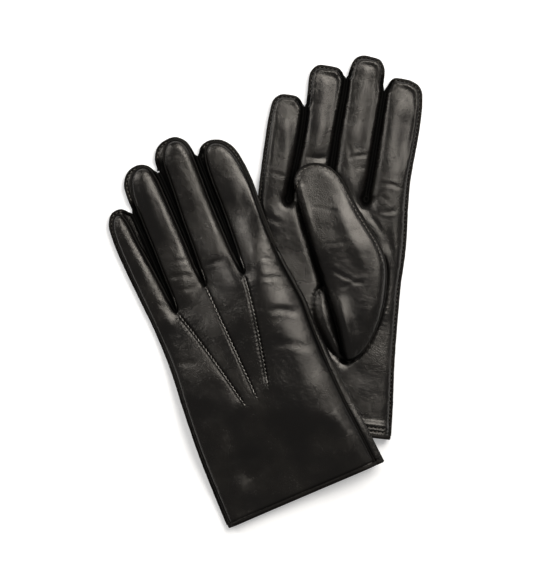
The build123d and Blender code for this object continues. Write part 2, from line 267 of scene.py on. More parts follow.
# The cut of the gloves: the outline of each, finger by finger. Every finger runs from the crotch on its
# little-finger side round its tip to the crotch on its index side.
ORDER = ["little", "ring", "middle", "index"]
LITTLE_SIDE = [(-54.4, 0), (-54.0, 25), (-53.0, 50), (-50.4, 83), (-48.0, 107)]
INDEX_SIDE = [(49.4, 114), (49.0, 100), (49.4, 83), (50.8, 50), (53.0, 22), (54.4, 0)]
CROTCH = {"left": [(-29.6, 143.2), (-6.0, 151.6), (19.8, 149.0)],
          "right": [(-28.6, 143.6), (-5.0, 151.0), (20.4, 149.4)]}
FINGER_EDGE = {
    "left": {
        "little": [(-47.4, 136), (-48.3, 156), (-49.2, 180), (-49.0, 198), (-47.2, 208.5), (-42.5, 214.2),
                   (-36.5, 214.4), (-32.2, 210), (-31.0, 200), (-30.6, 180), (-30.4, 160), (-30.0, 150)],
        "ring": [(-29.3, 150), (-29.4, 165), (-29.4, 180), (-29.6, 200), (-29.8, 216), (-28.2, 228),
                 (-22.5, 234.6), (-15, 235.8), (-9.2, 232.6), (-6.2, 225), (-5.5, 212), (-5.4, 195),
                 (-5.6, 178), (-6.3, 160)],
        "middle": [(-5.6, 160), (-4.7, 178), (-4.5, 200), (-4.6, 222), (-4.0, 234), (1.0, 241.4),
                   (8, 243.6), (14.5, 242.6), (19.2, 237.5), (21.0, 228), (20.6, 212), (19.9, 195),
                   (19.4, 178), (19.3, 160)],
        "index": [(20.3, 160), (21.2, 180), (21.8, 200), (22.2, 216), (22.9, 225.5), (27, 231),
                  (33.5, 232.2), (40.5, 229.2), (45.4, 222.5), (47.6, 212), (48.2, 198), (47.2, 184),
                  (46.4, 170), (46.2, 156), (46.8, 142), (48.4, 127)],
    },
    "right": {
        "little": [(-48.2, 136), (-48.5, 155), (-48.2, 178), (-47.3, 198), (-45.8, 206.5), (-41.8, 210.4),
                   (-36.5, 211), (-30.5, 210.1), (-26.9, 205.6), (-25.8, 195), (-26.3, 181), (-27.4, 167),
                   (-28.3, 155)],
        "ring": [(-27.5, 155), (-26.2, 170), (-25.2, 182), (-24.6, 200), (-24.8, 215), (-24.3, 227),
                 (-20.3, 231.8), (-13, 232.2), (-6.5, 231.3), (-2.6, 226.5), (-1.9, 217), (-2.7, 204),
                 (-3.5, 190), (-4.0, 175), (-4.6, 163)],
        "middle": [(-3.7, 163), (-3.0, 176), (-2.6, 190), (-1.7, 205), (-0.8, 219), (0.2, 231.5),
                   (2.8, 238.6), (7, 241.3), (13.3, 241.2), (18.8, 239.8), (22.2, 234.5), (22.8, 225),
                   (22.6, 211), (22.2, 195), (21.5, 178), (20.9, 163)],
        "index": [(21.8, 163), (22.5, 180), (23.3, 197), (24.2, 212), (25.4, 223.6), (28.8, 229.2),
                  (34.5, 229.6), (41.2, 228.6), (46.8, 224.6), (48.9, 215), (49.0, 198), (48.0, 180),
                  (47.2, 165), (47.8, 148), (49.2, 128)],
    },
}


def between(t, t0, p0, t1, p1):
    return (t1 - t) / (t1 - t0) * p0 + (t - t0) / (t1 - t0) * p1


def smooth_line(points, step=1.0):
    """A centripetal Catmull-Rom curve through the points, sampled about every step."""
    p = np.asarray(points, float)
    p = np.vstack([2 * p[0] - p[1], p, 2 * p[-1] - p[-2]])
    out = []
    for a, b, c, d in zip(p, p[1:], p[2:], p[3:]):
        ta = 0.0
        tb = ta + max(np.linalg.norm(b - a), 1e-6) ** 0.5
        tc = tb + max(np.linalg.norm(c - b), 1e-6) ** 0.5
        td = tc + max(np.linalg.norm(d - c), 1e-6) ** 0.5
        count = max(1, int(round(np.linalg.norm(c - b) / step)))
        t = np.linspace(tb, tc, count, endpoint=False)[:, None]
        bc = between(t, tb, b, tc, c)
        abc = between(t, ta, between(t, ta, a, tb, b), tc, bc)
        bcd = between(t, tb, bc, td, between(t, tc, c, td, d))
        out.append(between(t, tb, abc, tc, bcd))
    out.append(p[-2][None])
    return np.vstack(out)


CROTCH_STEP = 0.35


def outline(side_points, crotches, fingers, half_gap):
    """From the little-finger end of the cuff round all the fingers to its index end."""
    runs = [smooth_line(side_points[0] + fingers["little"])]
    for (u, v), name in zip(crotches, ORDER[1:]):
        rise = 0.2 + 0.9 * half_gap
        turn = [(u - half_gap, v + rise), (u - 0.45 * half_gap, v),
                (u + 0.45 * half_gap, v), (u + half_gap, v + rise)]
        nxt = fingers[name] + (side_points[1] if name == "index" else [])
        runs.append(smooth_line([tuple(runs[-1][-1])] + turn + [nxt[0]], CROTCH_STEP)[1:-1])
        runs.append(smooth_line(nxt))
    return np.vstack(runs)


def normals_of(path):
    """Unit normals in plan, to the right of the way the path runs: the inside of a glove's outline."""
    d = np.gradient(path, axis=0)
    d /= np.maximum(np.linalg.norm(d, axis=1, keepdims=True), 1e-9)
    return np.stack([d[:, 1], -d[:, 0]], 1)


def line_distance(points, path):
    """Distance from each plan point to a polyline, and how far along it the nearest place is."""
    best = np.full(len(points), 1e9)
    along = np.zeros(len(points))
    run = 0.0
    for a, b in zip(path[:-1], path[1:]):
        d = b - a
        size = max(float(d @ d), 1e-12)
        t = np.clip(((points - a) @ d) / size, 0, 1)
        gap = np.hypot(points[:, 0] - a[0] - t * d[0], points[:, 1] - a[1] - t * d[1])
        nearer = gap < best
        best[nearer] = gap[nearer]
        along[nearer] = (run + t * math.sqrt(size))[nearer]
        run += math.sqrt(size)
    return best, along


def inside(points, ring):
    """Which plan points are inside a closed polygon."""
    x, y = points[:, 0], points[:, 1]
    found = np.zeros(len(points), bool)
    for a, b in zip(ring, np.roll(ring, -1, 0)):
        crosses = (a[1] > y) != (b[1] > y)
        if crosses.any() and a[1] != b[1]:
            found ^= crosses & (x < (b[0] - a[0]) * (y - a[1]) / (b[1] - a[1]) + a[0])
    return found


def smoothstep(x, low, high):
    t = np.clip((x - low) / (high - low), 0, 1)
    return t * t * (3 - 2 * t)


def value_noise(uv, size, seed):
    """Smooth noise from -1 to 1 with features about size millimetres across."""
    table = np.random.default_rng(seed).uniform(-1, 1, (64, 64))
    p = uv / np.asarray(size, float) + 1000.0
    cell = np.floor(p).astype(int)
    f = p - cell
    f = f * f * (3 - 2 * f)
    i, j = cell[:, 0] % 64, cell[:, 1] % 64
    k, m = (i + 1) % 64, (j + 1) % 64
    low = table[i, j] * (1 - f[:, 0]) + table[k, j] * f[:, 0]
    high = table[i, m] * (1 - f[:, 0]) + table[k, m] * f[:, 0]
    return low * (1 - f[:, 1]) + high * f[:, 1]


def ridge(x, width, at=0.0):
    """A smooth bump across a line: 1 at the line, 0 a couple of widths away."""
    return np.exp(-((x - at) / width) ** 2)


def crease(uv, start, end, depth, width, bend=0.0):
    """A soft fold line: a valley from start to end, with raised lips, that fades at both ends."""
    start, end = np.array(start, float), np.array(end, float)
    d = end - start
    size = np.linalg.norm(d)
    d /= size
    rel = uv - start
    t = rel @ d / size
    off = rel @ np.array([-d[1], d[0]]) - bend * 4 * t * (1 - t)
    fade = smoothstep(t, -0.1, 0.25) * (1 - smoothstep(t, 0.75, 1.1))
    return -depth * fade * (ridge(off, width) - 0.45 * ridge(np.abs(off), width, 1.9 * width))


def run_of(path):
    return np.concatenate([[0], np.cumsum(np.linalg.norm(np.diff(path, axis=0), axis=1))])


def crowding(path, crotches):
    """Along an outline, 1 where the next finger lies close by and 0 where the edge is free; and the gap."""
    run = run_of(path)
    near = np.array([np.linalg.norm(path[np.abs(run - run[i]) > 6] - p, axis=1).min()
                     for i, p in enumerate(path)])
    crowd = 1 - smoothstep(near, 2.4, 6.5)
    for crotch in crotches:
        crowd = np.maximum(crowd, 1 - smoothstep(np.linalg.norm(path - crotch, axis=1), 5, 9))
    return crowd, near


OWN_FOLD_TO = 146


def on_fold(side, path):
    """1 on the index side of the left glove's hand, where the palm leather folds over with no seam."""
    if side == "right":
        return np.zeros(len(path))
    return (path[:, 0] > 40) * (1 - smoothstep(path[:, 1], OWN_FOLD_TO, 160))


# Neighbouring fingers lie pressed together, and their seams sink between them.
CUT_HALF_GAP = 0.45
PRESSED = 0.12
SEAM_INSET, RIM_INSET = 1.3, 0.15
SEAM_UP = {"right": 3.6, "left": 3.0}
SEAM_SINKS = 1.8
SILHOUETTE, CROWD, FOLD, BODY_EDGE, SEAM_LINE = {}, {}, {}, {}, {}
for side in TURN:
    cut = outline((LITTLE_SIDE, INDEX_SIDE), CROTCH[side], FINGER_EDGE[side], CUT_HALF_GAP)
    CROWD[side], near = crowding(cut, CROTCH[side])
    press = (1 - smoothstep(near, 1.7, 2.6)) * (near / 2 + PRESSED)
    SILHOUETTE[side] = cut - press[:, None] * normals_of(cut)
    FOLD[side] = on_fold(side, SILHOUETTE[side])
    inset = SEAM_INSET * (1 - FOLD[side]) + RIM_INSET
    BODY_EDGE[side] = SILHOUETTE[side] + inset[:, None] * normals_of(SILHOUETTE[side])
    SEAM_LINE[side] = SEAM_UP[side] - SEAM_SINKS * CROWD[side]


def edge_field(side, uv):
    """Distance in from the edge of the leather, the height of the seam there, and how crowded it is."""
    d, along = line_distance(uv, BODY_EDGE[side])
    run = run_of(BODY_EDGE[side])
    return d, np.interp(along, run, SEAM_LINE[side]), np.interp(along, run, CROWD[side])


def closed_ring(path):
    """An outline closed just below the cuff."""
    return np.vstack([path, [[path[-1][0], path[-1][1] - 1]], [[path[0][0], path[0][1] - 1]]])


def ring_gap(points, ring):
    """Distance to a ring whose last point joins its first."""
    return line_distance(points, np.vstack([ring, ring[:1]]))[0]


def rows_beside(path, offsets):
    """Rows of points beside a line, for a finer mesh along a seam."""
    n = normals_of(path)
    return np.vstack([path + off * n for off in offsets])


def plan_mesh(ring, keep_lines, extra, spacing):
    """A triangle mesh in plan: keep_lines become edges, and extra points make it fine where it must be."""
    low, high = ring.min(0), ring.max(0)
    us = np.arange(low[0], high[0], spacing)
    vs = np.arange(max(low[1], 0.0), high[1], spacing * 0.866)
    u, v = np.meshgrid(us, vs)
    u[1::2] += spacing / 2
    grid = np.stack([u.ravel(), v.ravel()], 1)
    grid = grid[inside(grid, ring)]
    grid = grid[ring_gap(grid, ring) > spacing * 0.6]
    if len(extra):
        extra = extra[inside(extra, ring)]
        extra = extra[ring_gap(extra, ring) > 0.35]
        for line in keep_lines:
            extra = extra[line_distance(extra, line)[0] > 0.3]
        taken = {tuple(cell) for cell in extra // spacing}
        grid = np.array([g for g in grid if tuple(g // spacing) not in taken])
    for line in keep_lines:
        grid = grid[line_distance(grid, line)[0] > spacing * 0.6]
    points, edges = [tuple(p) for p in ring], [(i, (i + 1) % len(ring)) for i in range(len(ring))]
    for line in keep_lines:
        first = len(points)
        points += [tuple(p) for p in line]
        edges += [(first + i, first + i + 1) for i in range(len(line) - 1)]
    points += [tuple(p) for p in grid] + [tuple(p) for p in extra]
    verts, _, faces, *_ = delaunay_2d_cdt([Vector(p) for p in points], edges, [], 1, 1e-4)
    return np.array([(p.x, p.y) for p in verts]), np.array([f for f in faces if len(f) == 3])


def vertex_normals(verts, faces):
    n = np.cross(verts[faces[:, 1]] - verts[faces[:, 0]], verts[faces[:, 2]] - verts[faces[:, 0]])
    total = np.zeros_like(verts)
    for k in range(3):
        np.add.at(total, faces[:, k], n)
    return total / np.maximum(np.linalg.norm(total, axis=1, keepdims=True), 1e-12)


def build_piece(name, verts, faces, uv, material, normals=None, dark=None):
    """An object from a mesh in the shared frame, keeping only the vertices its faces use."""
    used, index = np.unique(np.asarray(faces).ravel(), return_inverse=True)
    faces = index.reshape(np.asarray(faces).shape)
    mesh = bpy.data.meshes.new(name)
    mesh.from_pydata(np.asarray(verts)[used].tolist(), [], faces.tolist())
    layer = mesh.uv_layers.new(name="leather")
    loops = np.zeros(len(mesh.loops), int)
    mesh.loops.foreach_get("vertex_index", loops)
    layer.data.foreach_set("uv", (np.asarray(uv)[used][loops] / 100).astype(np.float32).ravel())
    mesh.polygons.foreach_set("use_smooth", np.ones(len(mesh.polygons), bool))
    mesh.materials.append(material)
    # dark is painted shade, stored per vertex for the leather shaders to darken by.
    if dark is not None:
        layer = mesh.attributes.new("painted_seam_shade", "FLOAT", "POINT")
        layer.data.foreach_set("value", np.asarray(dark, np.float32)[used])
    mesh.update()
    if normals is not None:
        mesh.normals_split_custom_set_from_vertices(np.asarray(normals)[used].tolist())
    piece = bpy.data.objects.new(name, mesh)
    scene.collection.objects.link(piece)
    return piece


HINGE = {j["name"]: j for j in frame["joints"]}


def bend_at_knuckle(piece, side, finger):
    """Reads the finger's bend joint and the way ahead along it, and bakes the piece's transform into its
    mesh.
    """
    joint = HINGE[f"{side}_{finger}_bend"]
    axis = Vector(joint["axis"])
    ahead = axis.cross(Vector((0, 0, 1))) if side == "left" else Vector((0, 0, 1)).cross(axis)
    ahead.normalize()
    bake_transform(piece)


def carried_by(piece, side, owner):
    """The piece goes with the hand, or, for a finger, only has its transform baked."""
    if owner == "hand":
        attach(piece, f"{side}_hand")
    else:
        bend_at_knuckle(piece, side, owner)


# Each finger's middle line: where it is across the hand at LINE_FROM, and LINE_LONG further up.
FINGER_LINE = {
    "left": {"little": (-38.6, -40.6), "ring": (-17.4, -17.6), "middle": (7.0, 8.4), "index": (33.4, 35.4)},
    "right": {"little": (-38.4, -36.6), "ring": (-16.6, -13.4), "middle": (8.6, 11.6), "index": (34.6, 37.0)},
}
LINE_FROM, LINE_LONG = 150, 80
FREE_FROM = {"little": 152.0, "ring": 160.0, "middle": 160.0, "index": 158.0}


def finger_of(side, uv):
    """Which finger each plan point belongs to, or -1 for the hand."""
    t = (uv[:, 1] - LINE_FROM) / LINE_LONG
    gaps = []
    for name in ORDER:
        a, b = FINGER_LINE[side][name]
        gaps.append(np.abs(uv[:, 0] - (a + (b - a) * t)))
    nearest = np.argmin(gaps, 0)
    free = np.array([FREE_FROM[name] for name in ORDER])[nearest]
    return np.where(uv[:, 1] > free, nearest, -1)


def rim_edges(faces):
    """The edges that only one triangle uses, as that triangle runs along them."""
    pairs = np.vstack([faces[:, [0, 1]], faces[:, [1, 2]], faces[:, [2, 0]]])
    key = np.sort(pairs, axis=1)
    _, first, count = np.unique(key, axis=0, return_index=True, return_counts=True)
    return pairs[first[count == 1]]


def closed_skin(uv, faces, top, bottom):
    """Upper and lower sheets joined by a narrow wall along their rim, open only at the cuff."""
    count = len(uv)
    verts = np.vstack([np.column_stack([uv, top]), np.column_stack([uv, bottom])])
    rim = rim_edges(faces)
    rim = rim[(uv[rim[:, 0], 1] > 0.3) | (uv[rim[:, 1], 1] > 0.3)]
    a, b = rim[:, 0], rim[:, 1]
    wall = np.vstack([np.column_stack([b, a, a + count]), np.column_stack([b, a + count, b + count])])
    return verts, np.vstack([faces, faces[:, ::-1] + count, wall])


def ring_faces(rows, m):
    """Quads between each ring of m points and the next."""
    return [(i * m + k, i * m + (k + 1) % m, (i + 1) * m + (k + 1) % m, (i + 1) * m + k)
            for i in range(rows - 1) for k in range(m)]


def sweep(side, path, section, normals=None):
    """A closed section of (n, z) points carried along a path of (u, v, z); n is towards the inside."""
    n = normals_of(path[:, :2]) if normals is None else normals
    count, m = len(path), len(section)
    ring = np.zeros((count, m, 3))
    for i, (off, up) in enumerate(section):
        waver = 0.14 * value_noise(path[:, :2], 2.6, 40 + i) * (off < 0)
        ring[:, i, :2] = path[:, :2] + (off + waver)[:, None] * n
        ring[:, i, 2] = path[:, 2] + up
    faces = np.array(ring_faces(count, m))[:, [0, 3, 2, 1]]
    flat = np.stack([np.repeat(run_of(path), m), np.tile(np.arange(m) * 1.1, count)], 1)
    return to_frame(side, ring.reshape(-1, 3)), faces, flat


def mesh_rows(path, z):
    return np.column_stack([path, z])


def seam_runs(side, path, z, section, parts, dark=None):
    """A raised sewn edge along a path, added to the runs of the hand or finger that carries each stretch."""
    owner = finger_of(side, path)
    n = normals_of(path)
    start = 0
    for i in range(1, len(path) + 1):
        if i < len(path) and owner[i] == owner[start]:
            continue
        run = slice(start, min(i + 1, len(path)))
        if run.stop - run.start > 2:
            made = sweep(side, mesh_rows(path, z)[run], section, n[run])
            # dark, when given, is painted shade along the path.
            shade = np.zeros(len(path)) if dark is None else dark
            parts.setdefault(owner[start], []).append(made + (np.repeat(shade[run], len(section)),))
        start = i


def join_runs(name, runs, material):
    """Several small meshes as one piece."""
    verts, faces, flat, dark, first = [], [], [], [], 0
    for v, f, t, *shade in runs:
        verts.append(v)
        faces.append(np.asarray(f) + first)
        flat.append(t)
        dark.append(shade[0] if shade else np.zeros(len(v)))
        first += len(v)
    return build_piece(name, np.vstack(verts), np.vstack(faces), np.vstack(flat), material,
                       dark=np.concatenate(dark))


def merged_by_owner(side, names, parts, material):
    """Joins the runs of each owner into one piece, riding on the hand, or with its transform baked for a
    finger.
    """
    for k, runs in parts.items():
        owner = "hand" if k < 0 else ORDER[k]
        carried_by(join_runs(names.format(owner), runs, material), side, owner)


def dash(length, wide, high):
    """One stitch lying on the leather: a short rounded bar, ends dipping into the holes."""
    rings, m = 5, 6
    verts = []
    for i in range(rings):
        t = i / (rings - 1) * 2 - 1
        r = math.sqrt(max(0.0, 1 - t * t * 0.92))
        for k in range(m):
            a = 2 * math.pi * k / m
            verts.append((t * length / 2, math.cos(a) * wide / 2 * r,
                          math.sin(a) * high / 2 * r - 0.16 * t * t))
    ends = [tuple(range(m - 1, 1, -1)), tuple((rings - 1) * m + k for k in range(4))]
    return np.array(verts), np.array(ring_faces(rings, m) + ends)


def stitch_runs(side, path, z, pitch, length, wide=0.5, high=0.42, slant=0.0):
    """Stitches along a plan path at heights z, as runs by the finger or hand that carries them."""
    run = run_of(path)
    places = np.arange(pitch / 2, run[-1], pitch)
    middle, before, after = [np.stack([np.interp(places + shift, run, line) for line in (*path.T, z)], 1)
                             for shift in (0, -0.5, 0.5)]
    ahead = after - before
    ahead /= np.linalg.norm(ahead, axis=1, keepdims=True)
    shape, quads = dash(length, wide, high)
    owner = finger_of(side, middle[:, :2])
    c, s = math.cos(slant), math.sin(slant)
    turned = shape @ np.array([[c, s, 0], [-s, c, 0], [0, 0, 1]])
    parts = {}
    for spot, a, who in zip(middle, ahead, owner):
        b = np.array([-a[1], a[0], 0.0])
        b /= np.linalg.norm(b)
        stitch = spot + turned @ np.array([a, b, np.cross(a, b)])
        parts.setdefault(who, []).append((to_frame(side, stitch), quads, stitch[:, :2]))
    return parts


LIPS = [(-1.0, -0.7), (-0.7, -0.9), (1.0, -0.9), (1.0, 0.75), (0.3, 0.95), (-0.6, 0.9), (-1.0, 0.7),
        (-1.0, 0.25), (-0.55, 0.0), (-1.0, -0.25)]
CORD = [(0.62 * math.cos(a), 0.7 * math.sin(a)) for a in np.linspace(0, 2 * math.pi, 9)[:-1]]


def dome(d, reach):
    """How far a surface has risen a distance d in from its seam: a steep shoulder, then a gentle crown."""
    t = np.clip(d / (0.55 * reach), 0, 1)
    gentle = np.clip(d / (1.3 * reach), 0, 1)
    return 0.68 * np.sqrt(1 - (1 - t) ** 2) + 0.32 * gentle * (2 - gentle)


def swell(uv, centre, radii, height, turn=0.0):
    """A soft oval swelling, or a hollow where the height is below 0."""
    c, s = math.cos(math.radians(turn)), math.sin(math.radians(turn))
    rel = uv - np.array(centre, float)
    a, b = rel[:, 0] * c + rel[:, 1] * s, -rel[:, 0] * s + rel[:, 1] * c
    return height * np.exp(-(a / radii[0]) ** 2 - (b / radii[1]) ** 2)


def wear(uv, creases, swells):
    """What wear has left in the leather: creases and soft swellings."""
    return sum(crease(uv, *one) for one in creases) + sum(swell(uv, *one) for one in swells)


# The right glove's hand and fingers: palm up and flat on the table. The eye sees the palm leather, puffed
# softly between its seams, with creases where the fingers have been bent, and a raised sewn edge all round.
RIGHT_THICK = 8.8
SEAM_TO_SKIN = 0.5
THUMB_LOW, THUMB_CLEAR = 8.8, 2.6
RIGHT_CREASES = [
    ((6.0, 174.5), (19.0, 178.5), 0.4, 1.1, 0.8), ((10, 168), (20, 171), 0.2, 1.1, 0.4),
    ((27.5, 161.0), (42.0, 159.6), 0.35, 1.2, 1.2), ((31, 143.5), (41, 146.0), 0.28, 1.2, -0.6),
    ((28, 153), (36, 150), 0.2, 1.2, 0.5), ((-44, 160), (-31, 158), 0.2, 1.4, 0.6),
    ((-22, 172), (-7, 174), 0.35, 1.5, -0.8), ((-44, 132), (-30, 128), 0.2, 1.8, 0.5),
    ((24, 140), (34, 128), 0.3, 1.5, 0.8), ((4, 185), (12, 160), 0.2, 1.4, 1.0),
]
RIGHT_SWELLS = [
    ((-33, 172), (3.6, 22), 0.8, 3), ((-16, 192), (5, 22), 0.4), ((-16, 173), (7, 4), -0.8),
    ((10, 196), (4.5, 24), 0.45), ((12, 233), (7, 7), 0.35), ((33, 190), (6, 30), 0.45),
    ((23, 146), (5, 8), -0.7), ((44, 118), (2.2, 14), 0.7, 12), ((38, 124), (3.0, 9), -0.8, 20),
]
OVAL = [(0.5, 95), (-3.3, 89.2), (-5.4, 79.5), (-3.9, 71.0), (0.6, 61.5), (7.0, 53.5), (13.5, 48.2),
        (20.0, 46.4), (26.5, 49.2), (32.2, 57.4), (36.6, 69.5), (39.2, 82), (39.8, 94.5), (38.8, 106),
        (36.0, 114.0)]
OVAL_LINE = smooth_line(OVAL, 0.8)
OVAL_PUCKER = 3.2


REACH = {"right": (13.0, 3.6), "left": (15.0, 5.6)}


def reach(side, uv):
    """How far in from a seam the leather goes on rising: less on a finger than on the hand."""
    hand, less = REACH[side]
    return hand - less * smoothstep(uv[:, 1], 118, 158)


HEM_FROM, HEM_TO = 8.2, 11.4
HEM_STITCH_ROWS = (6.2, 3.7)
THUMB_RING = [(19.5, 46.9), (11.5, 66.0), (1.6, 89.0), (-6.4, 106.5), (-14.2, 124.0), (-20.6, 140),
              (-25.4, 151.5), (-26.0, 159.5), (-22.6, 165.6), (-15.2, 168.9), (-7.0, 168.2), (0.6, 163.4),
              (7.6, 155.0), (15.0, 144.6), (23.6, 133.6), (31.5, 123.4), (37.2, 111.6), (39.2, 97.0),
              (38.4, 80.0), (35.0, 65.2), (28.4, 52.0)]
THUMB_TIP = 6
THUMB_LEAN = math.radians(17.4)
THUMB_FROM = np.array([19.5, 47.0])
THUMB_LIPS = [(-0.8, -0.6), (0.7, -0.75), (0.9, 0.45), (-0.4, 0.6), (-0.8, 0.35), (-0.5, 0.0)]


def closed_smooth(points, step):
    p = np.asarray(points, float)
    wrapped = smooth_line(np.vstack([p[-2:], p, p[:3]]), step)
    half = len(wrapped) // 2
    first = np.argmin(np.linalg.norm(wrapped[:half] - p[0], axis=1))
    last = half + np.argmin(np.linalg.norm(wrapped[half:] - p[0], axis=1))
    return wrapped[first:last]


THUMB_LINE = closed_smooth(THUMB_RING, 0.9)
FOLD_LINE = smooth_line(THUMB_RING[:THUMB_TIP + 1])


def along_thumb(uv):
    """Millimetres up the thumb from the foot of its fold."""
    return (uv - THUMB_FROM) @ np.array([-math.sin(THUMB_LEAN), math.cos(THUMB_LEAN)])


def thumb_rise(uv):
    """How far up the thumb has risen from the palm: 0 at its low end, 1 where it lies clear on top."""
    return smoothstep(along_thumb(uv), -45, 60)


def thumb_gap(uv):
    return ring_gap(uv, THUMB_LINE)


def thumb_edge(uv):
    return THUMB_LOW + THUMB_CLEAR * thumb_rise(uv)


THUMB_CREASES = [((-14, 141), (4, 140), 0.18, 1.1, 0.5), ((2, 104), (26, 96), 0.18, 1.3, -1.0),
                 ((10, 92), (28, 99), 0.16, 1.3, 0.6), ((-4, 118), (14, 122), 0.12, 1.4, 0.3)]
THUMB_SWELLS = [((12, 128), (5.0, 26), 1.1, 30), ((-18, 150), (4.0, 15), 0.6, 20),
                ((16, 67), (5.6, 20), 3.0, 20), ((24, 108), (10, 13), -0.9)]


def thumb_top(uv):
    """A crown that is lowest at the palm and again at the tip, with a rounded fold down its left side."""
    d = thumb_gap(uv)
    crown = 1.4 + 4.2 * thumb_rise(uv) - 3.2 * smoothstep(along_thumb(uv), 66, 122)
    z = thumb_edge(uv) + SEAM_TO_SKIN + crown * dome(d, 13.5)
    z += (0.5 * value_noise(uv, 19, 12) + 0.2 * value_noise(uv, 8, 13)) * smoothstep(d, 1, 8)
    z += wear(uv, THUMB_CREASES, THUMB_SWELLS)
    z += 1.6 * ridge(line_distance(uv, FOLD_LINE)[0], 2.1, 3.0) * smoothstep(uv[:, 1], 112, 138)
    return z - 0.35 * ridge(d, 0.8, 2.0)


def thumb_painted_shade(uv):
    """Painted shade down the steep side of the fold and in the seam at the right."""
    to_fold = line_distance(uv, FOLD_LINE)[0]
    sewn = 0.85 - 0.5 * smoothstep(uv[:, 1], 108, 118)
    folded = 0.9 - 0.7 * smoothstep(uv[:, 1], 122, 140)
    return np.clip(folded * ridge(to_fold, 1.7) + sewn * ridge(thumb_gap(uv), 1.0), 0, 1)


def thumb_bottom(uv):
    return thumb_edge(uv) - SEAM_TO_SKIN - (0.2 + 1.6 * thumb_rise(uv)) * dome(thumb_gap(uv), 9)


# The fingers lie rolled a little to one side and thin out towards their tips.
ROLL, PITCH = 0.10, 0.035


def off_centre(side, uv):
    """How far across from its own finger's middle line each plan point is."""
    t = (uv[:, 1] - LINE_FROM) / LINE_LONG
    across = np.array([uv[:, 0] - a - (b - a) * t for a, b in FINGER_LINE[side].values()])
    return np.take_along_axis(across, np.abs(across).argmin(0)[None], 0)[0]


def right_top(uv):
    """The palm leather, sunk under the thumb and along the oval seam, and turned up double at the hem."""
    d, seam, _ = edge_field("right", uv)
    z = seam + SEAM_TO_SKIN + (RIGHT_THICK - seam - SEAM_TO_SKIN) * dome(d, reach("right", uv))
    z += (0.7 * value_noise(uv, 24, 3) + 0.3 * value_noise(uv, 10, 4)) * smoothstep(d, 1, 8)
    z += wear(uv, RIGHT_CREASES, RIGHT_SWELLS)
    gap, along = line_distance(uv, OVAL_LINE)
    z -= 0.9 * ridge(gap, 1.5)
    z += 0.10 * np.cos(along * 2 * math.pi / OVAL_PUCKER) * ridge(gap, 3.0)
    under = np.where(inside(uv, THUMB_LINE), smoothstep(thumb_gap(uv), 0, 4), 0)
    z += np.where(inside(uv, OVAL_LINE), 2.0 * smoothstep(gap, 0, 7), 0) * (1 - under) - 2.0 * under
    z -= 2.2 * ridge(line_distance(uv, FOLD_LINE)[0], 3.0)
    z += 1.3 * (1 - smoothstep(uv[:, 1], HEM_FROM, HEM_TO))
    for row in HEM_STITCH_ROWS:
        z -= 0.45 * ridge(uv[:, 1], 0.55, row)
    z += 0.10 * (1 - smoothstep(d, 0.5, 4.5)) * value_noise(uv, 2.2, 7)
    lean = ROLL * off_centre("right", uv) + PITCH * (uv[:, 1] - 160)
    return z - lean * smoothstep(uv[:, 1], 150, 178) * smoothstep(d, 0.5, 5)


# Painted shade: near-black colour along the outer seam, the thumb's oval seam, the groove beside the thumb's
# fold and the two hem stitch rows.
def right_painted_shade(uv):
    d = line_distance(uv, BODY_EDGE["right"])[0]
    oval = line_distance(uv, OVAL_LINE)[0]
    fold = line_distance(uv, FOLD_LINE)[0]
    dark = ridge(d, 0.7) + 0.8 * ridge(oval, 0.8) + 0.8 * ridge(fold, 2.6)
    for row in HEM_STITCH_ROWS:
        dark += 0.9 * ridge(uv[:, 1], 0.5, row)
    return np.clip(dark, 0, 1)


def right_bottom(uv):
    d, seam, _ = edge_field("right", uv)
    return (seam - SEAM_TO_SKIN) * (1 - dome(d, reach("right", uv))) + 0.04 * (1 + value_noise(uv, 7, 9))


MESH_SPACING = 1.35
THINNEST = 0.3
CAD_OF_HAND = ("back_panel", "palm_panel", "fourchettes", "hand_lining", "back_points", "side_welts")
CAD_OF_FINGER = ("back", "palm", "fourchettes", "lining")


def skin_of(side, keep_lines, extra, top_of, bottom_of, dark_of):
    """One glove's leather, closed along its seams: a hand and four fingers, in place of their CAD panels."""
    uv, faces = plan_mesh(BODY_EDGE[side], keep_lines, extra, MESH_SPACING)
    top = top_of(uv)
    verts, every = closed_skin(uv, faces, top, np.minimum(bottom_of(uv), top - THINNEST))
    world = to_frame(side, verts)
    normals = vertex_normals(world, every)
    # The top sheet takes the painted shade; the lower sheet gets none.
    flat, dark = np.vstack([uv, uv + [300, 0]]), np.concatenate([dark_of(uv), np.zeros(len(uv))])
    which = finger_of(side, verts[every][:, :, :2].mean(1))
    for k, owner in [(-1, "hand")] + list(enumerate(ORDER)):
        piece = build_piece(f"{side}_{owner}_leather", world, every[which == k], flat, glove_nappa, normals,
                            dark=dark)
        carried_by(piece, side, owner)
        if owner == "hand":
            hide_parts(*[f"{side}_{part}" for part in CAD_OF_HAND])
        else:
            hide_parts(*[f"{side}_{owner}_{part}" for part in CAD_OF_FINGER])


def rows_across(heights):
    """Rows of points straight across the glove at heights above the cuff."""
    return np.array([(u, v) for v in heights for u in np.arange(-52, 52, 1.0)])


HEM_ROWS = [1.5, 2.6, 3.1, 3.7, 4.3, 4.9, 5.6, 6.2, 6.8, 7.6, 8.4, 9.2, 10.0, 10.8, 11.6]
OVAL_ROWS = [-2.6, -1.7, -0.8, 0.0, 0.8, 1.7, 2.6]
skin_of("right", [], np.vstack([rows_beside(OVAL_LINE, OVAL_ROWS), rows_across(HEM_ROWS)]),
        right_top, right_bottom, right_painted_shade)


EDGE_FROM = 1.2


def edge_run(side, inset):
    """The seam path in from the silhouette, from cuff to cuff, with its height and crowding."""
    path = SILHOUETTE[side] + inset * normals_of(SILHOUETTE[side])
    keep = path[:, 1] > EDGE_FROM
    return path[keep], SEAM_LINE[side][keep], CROWD[side][keep], FOLD[side][keep]


